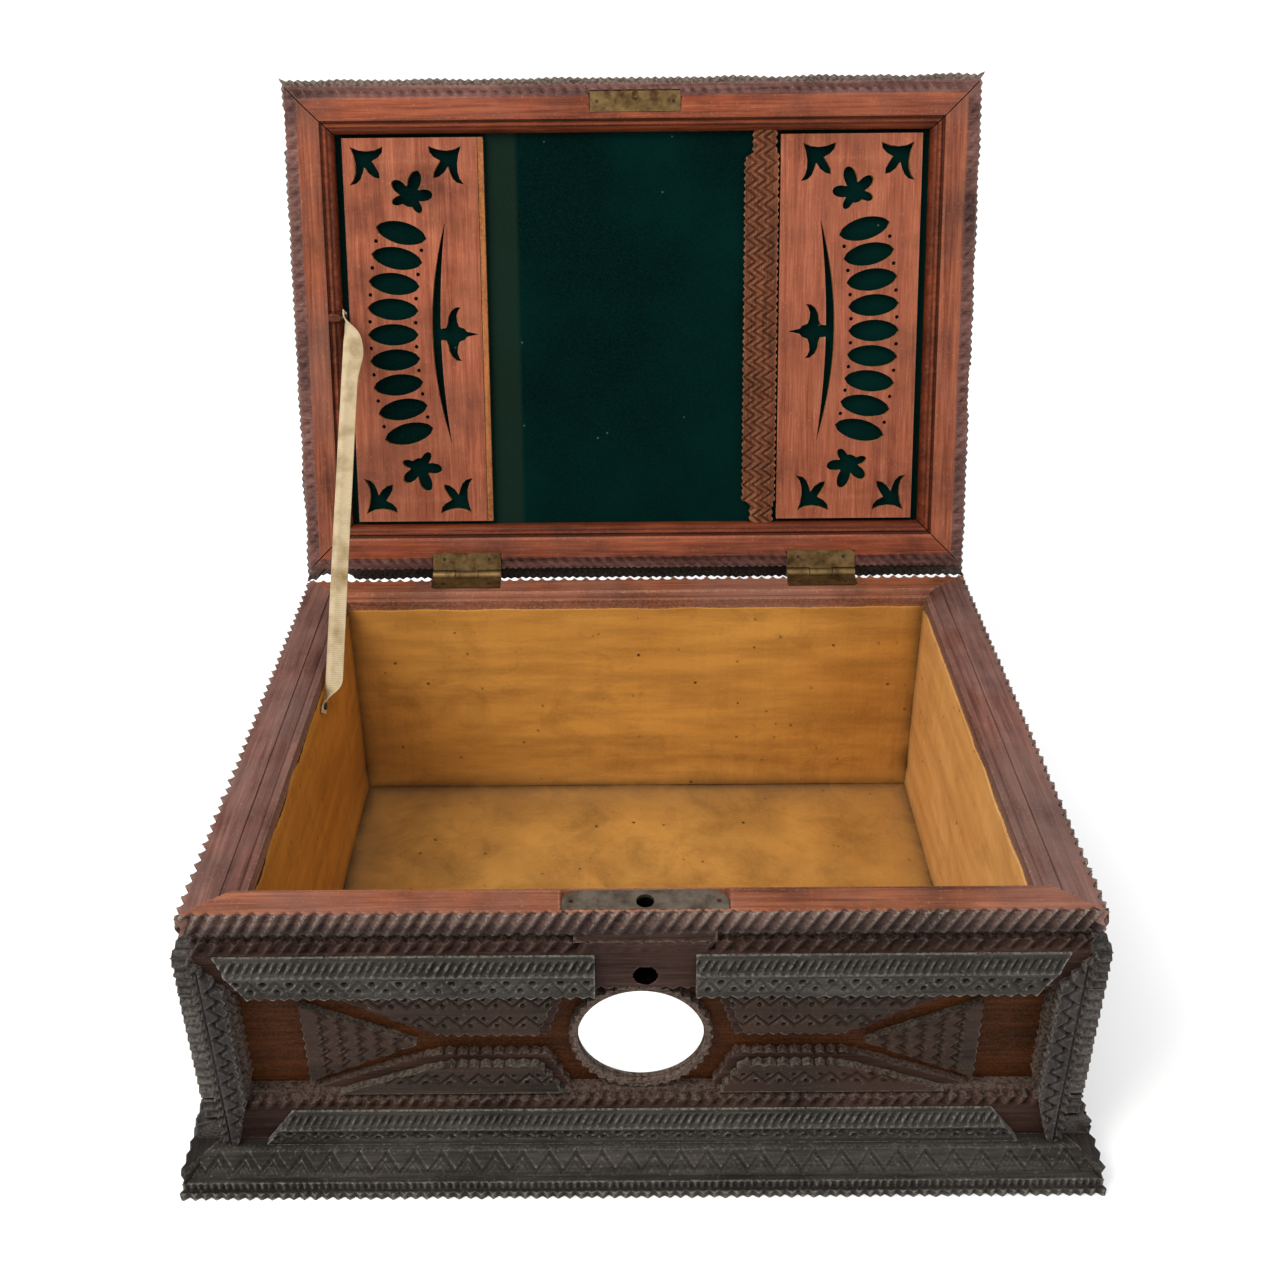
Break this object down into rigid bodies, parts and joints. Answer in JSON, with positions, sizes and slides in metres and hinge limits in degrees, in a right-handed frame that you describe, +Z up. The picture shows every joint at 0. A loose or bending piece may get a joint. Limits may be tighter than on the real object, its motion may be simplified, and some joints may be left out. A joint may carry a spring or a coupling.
{
  "type": "tramp art box",
  "caption": "Lidded wooden trinket box with chip-carved notched layers on all sides, hinged lid with pierced panels and velvet inside, link lock, mirror and cotton stay.",
  "frame": {"origin": "on the underside, at the middle of the rim in plan", "axes": "+Z up, -Y towards the front with the keyhole, +X to the right"},
  "size_m": [0.326, 0.3121, 0.3293],
  "materials": {
    "carved_wood": "dark stained chip-carved wood, dusty on the arrises",
    "mahogany": "worn shellac on red-brown wood",
    "cedar": "thin varnish on orange-brown wood",
    "lining": "ochre paper on card, stained",
    "velvet": "dark green cotton velvet",
    "tape": "cream cotton tape",
    "mirror": "silvered glass",
    "brass": "dull brass",
    "iron": "darkened iron"
  },
  "bodies": {
    "case": {"bottom_board": "cedar", "front_wall": "cedar", "back_wall": "cedar", "left_wall": "cedar", "right_wall": "cedar", "rim_front": "mahogany", "rim_back": "mahogany", "rim_left": "mahogany", "rim_right": "mahogany", "lining_front": "lining", "lining_back": "lining", "lining_left": "lining", "lining_right": "lining", "lining_floor": "lining", "plinth_front": "carved_wood", "plinth_back": "carved_wood", "plinth_left": "carved_wood", "plinth_right": "carved_wood", "plinth_steps": "carved_wood", "front_frame_lower": "carved_wood", "front_frame_upper": "carved_wood", "top_bar_left": "carved_wood", "top_bar_right": "carved_wood", "bottom_bar": "carved_wood", "post_left": "carved_wood", "post_right": "carved_wood", "triangle_left": "carved_wood", "triangle_right": "carved_wood", "trapezoids_lower": "carved_wood", "trapezoids_upper": "carved_wood", "mirror": "mirror", "mirror_ring": "carved_wood", "left_frame": "carved_wood", "left_ornament": "carved_wood", "right_frame": "carved_wood", "right_ornament": "carved_wood", "back_frame": "carved_wood", "back_ornament": "carved_wood", "lock_case": "iron", "lock_plate": "brass", "hinge_leaves_case": "brass", "hinge_pins": "iron", "case_nails": "iron", "stay_tape": "tape"},
    "lid": {"lid_rail_front": "mahogany", "lid_rail_back": "mahogany", "lid_rail_left": "mahogany", "lid_rail_right": "mahogany", "lid_board": "carved_wood", "lid_layer_lower": "carved_wood", "lid_layer_upper": "carved_wood", "lid_ornament": "carved_wood", "velvet_panel": "velvet", "fret_left": "cedar", "fret_right": "cedar", "carved_strip": "cedar", "strike_plate": "brass", "hinge_leaves_lid": "brass", "lid_nails": "iron"},
    "bolt": {"lock_bolt": "brass"}
  },
  "joints": [
    {"name": "lid_hinge", "type": "hinge", "parent": "case", "child": "lid", "pos_m": [0, 0.1095, 0.12115], "axis": [1, 0, 0], "range_deg": [0, 106.3], "deforming": ["stay_tape"]},
    {"name": "bolt_slide", "type": "slide", "parent": "case", "child": "bolt", "axis": [1, 0, 0], "range_m": [0, 0.007]}
  ]
}
